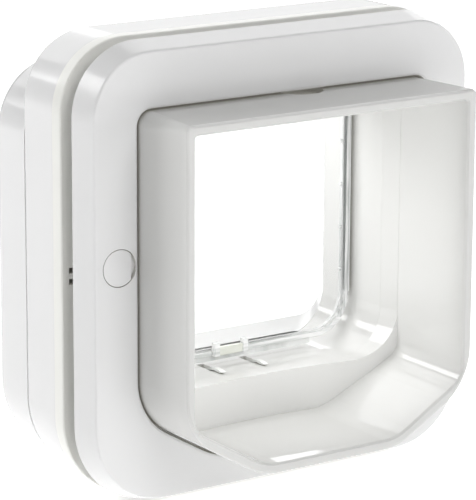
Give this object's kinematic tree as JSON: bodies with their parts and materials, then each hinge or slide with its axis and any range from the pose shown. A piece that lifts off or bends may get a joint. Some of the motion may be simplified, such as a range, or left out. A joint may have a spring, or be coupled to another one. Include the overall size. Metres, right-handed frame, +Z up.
{
  "type": "cat flap",
  "caption": "Square door-mounted cat flap with a clear swinging flap in a deep tunnel, a battery indoor unit behind it and latches that lock the flap.",
  "frame": {"origin": "middle of the indoor unit's flat face against the door, level with the middle of the square frame", "axes": "+X to the right seen from outdoors, +Y from outdoors to indoors through the door, +Z up"},
  "size_m": [0.21, 0.1171, 0.21],
  "materials": {
    "frame_plastic": "satin moulded",
    "cap_plastic": "satin moulded",
    "screw_steel": "zinc plated",
    "tunnel_plastic": "polished mould, glossy",
    "cover_plastic": "satin moulded",
    "clear_plastic": "clear, polished",
    "seal_plastic": "clear, soft",
    "pin_steel": "drawn wire",
    "latch_plastic": "moulded, grey",
    "gearbox_plastic": "moulded",
    "coil_copper": "enamelled wire",
    "board_laminate": "lacquered",
    "cell_case": "shrink sleeve",
    "contact_steel": "nickel plated",
    "button_plastic": "moulded",
    "light_lens": "tinted, clear",
    "knob_plastic": "satin moulded"
  },
  "bodies": {
    "door_unit": {"outer_frame": "frame_plastic", "screw_cap_left": "cap_plastic", "screw_cap_right": "cap_plastic", "fixing_screws": "screw_steel", "tunnel_moulding": "tunnel_plastic", "indoor_cover": "cover_plastic", "latch_axle": "pin_steel", "latch_gearbox": "gearbox_plastic", "outer_antenna_coil": "coil_copper", "inner_antenna_coil": "coil_copper", "circuit_board": "board_laminate", "battery_cells": "cell_case", "battery_contacts": "contact_steel", "status_light": "light_lens", "detent_spring": "contact_steel", "housing_screws": "screw_steel"},
    "swing_flap": {"flap": "clear_plastic", "flap_seal": "seal_plastic", "flap_pins": "pin_steel"},
    "left_latch": {"latch_left": "latch_plastic"},
    "right_latch": {"latch_right": "latch_plastic"},
    "left_battery_cover": {"battery_cover_left": "cover_plastic"},
    "right_battery_cover": {"battery_cover_right": "cover_plastic"},
    "button": {"settings_button": "button_plastic"},
    "lock": {"lock_knob": "knob_plastic", "lock_cam": "gearbox_plastic"}
  },
  "joints": [
    {"name": "flap_swing", "type": "hinge", "parent": "door_unit", "child": "swing_flap", "pos_m": [0, 0.0253, 0.0645], "axis": [1, 0, 0], "range_deg": [-80, 80]},
    {"name": "left_latch_turn", "type": "hinge", "parent": "door_unit", "child": "left_latch", "pos_m": [-0.012, 0.0263, -0.065], "axis": [-1, 0, 0], "range_deg": [0, 25]},
    {"name": "right_latch_turn", "type": "hinge", "parent": "door_unit", "child": "right_latch", "pos_m": [0.012, 0.0263, -0.065], "axis": [-1, 0, 0], "range_deg": [0, 25]},
    {"name": "left_battery_cover_off", "type": "slide", "parent": "door_unit", "child": "left_battery_cover", "axis": [0, 1, 0], "range_m": [0, 0.03]},
    {"name": "right_battery_cover_off", "type": "slide", "parent": "door_unit", "child": "right_battery_cover", "axis": [0, 1, 0], "range_m": [0, 0.03]},
    {"name": "button_press", "type": "slide", "parent": "door_unit", "child": "button", "axis": [0, -1, 0], "range_m": [0, 0.001], "stiffness_N_per_m": 400},
    {"name": "lock_turn", "type": "hinge", "parent": "door_unit", "child": "lock", "pos_m": [0, 0.0538, -0.0775], "axis": [0, 1, 0], "range_deg": [0, 270]}
  ]
}
